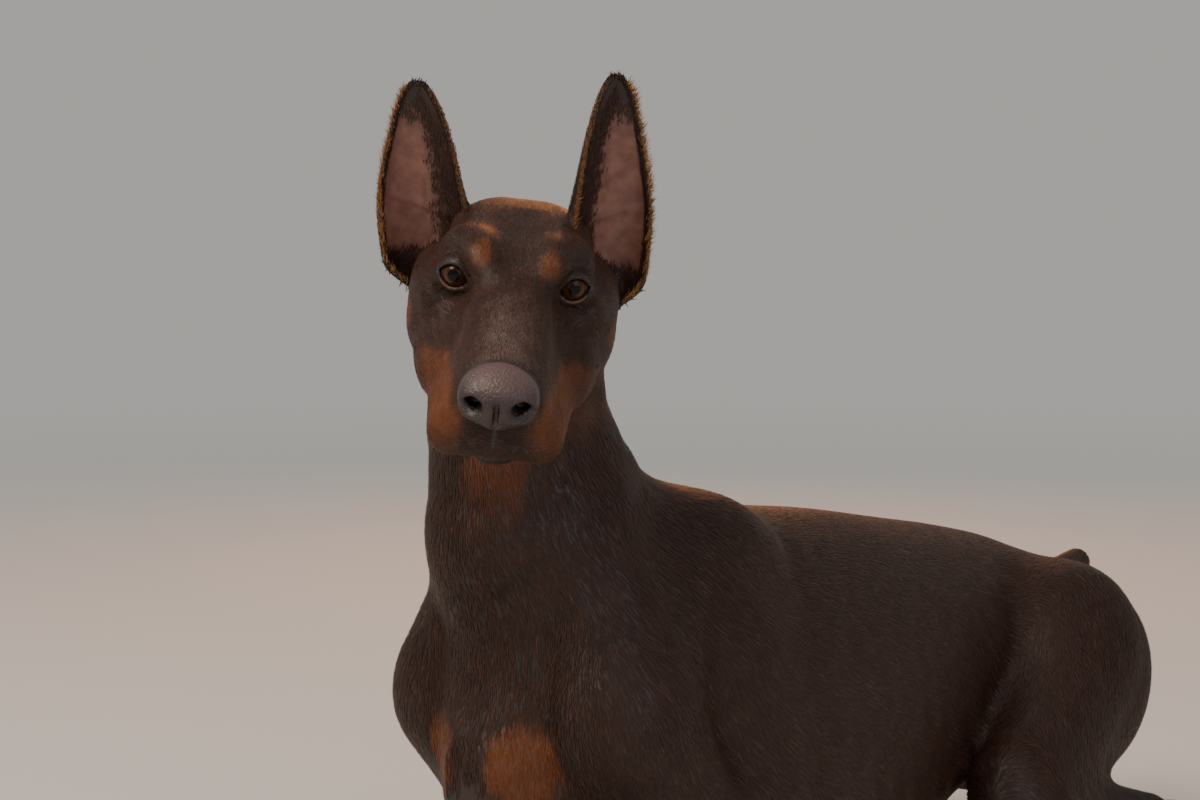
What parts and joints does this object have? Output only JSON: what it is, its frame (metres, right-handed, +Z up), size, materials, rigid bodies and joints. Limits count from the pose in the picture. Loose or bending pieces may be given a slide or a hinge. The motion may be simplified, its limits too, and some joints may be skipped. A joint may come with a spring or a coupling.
{
  "type": "doberman pinscher model",
  "caption": "A life-size doberman pinscher lying on its belly, forelegs stretched out, head up and turned to its left, with cropped upright ears and a docked tail.",
  "frame": {"origin": "on the floor, in the middle of the flat where the brisket rests", "axes": "+X towards the forepaws, +Y to the dog's left, +Z up"},
  "size_m": [0.9899, 0.3524, 0.649],
  "materials": {
    "coat": "short smooth coat, red-brown",
    "rust": "short smooth coat, rust",
    "nose": "satin",
    "eye": "wet gloss",
    "claw": "satin horn"
  },
  "bodies": {
    "root": {"foreleg_left": "coat", "hindleg_left": "coat", "forepaw_left": "rust", "forepaw_left_claw_1": "claw", "forepaw_left_claw_2": "claw", "forepaw_left_claw_3": "claw", "forepaw_left_claw_4": "claw", "hindpaw_left": "rust", "hindpaw_left_claw_1": "claw", "hindpaw_left_claw_2": "claw", "hindpaw_left_claw_3": "claw", "hindpaw_left_claw_4": "claw", "ear_left": "coat", "eye_left": "eye", "foreleg_right": "coat", "hindleg_right": "coat", "forepaw_right": "rust", "forepaw_right_claw_1": "claw", "forepaw_right_claw_2": "claw", "forepaw_right_claw_3": "claw", "forepaw_right_claw_4": "claw", "hindpaw_right": "rust", "hindpaw_right_claw_1": "claw", "hindpaw_right_claw_2": "claw", "hindpaw_right_claw_3": "claw", "hindpaw_right_claw_4": "claw", "ear_right": "coat", "eye_right": "eye", "nose": "nose", "head": "coat", "neck": "coat", "torso": "coat", "tail": "coat"}
  },
  "joints": []
}
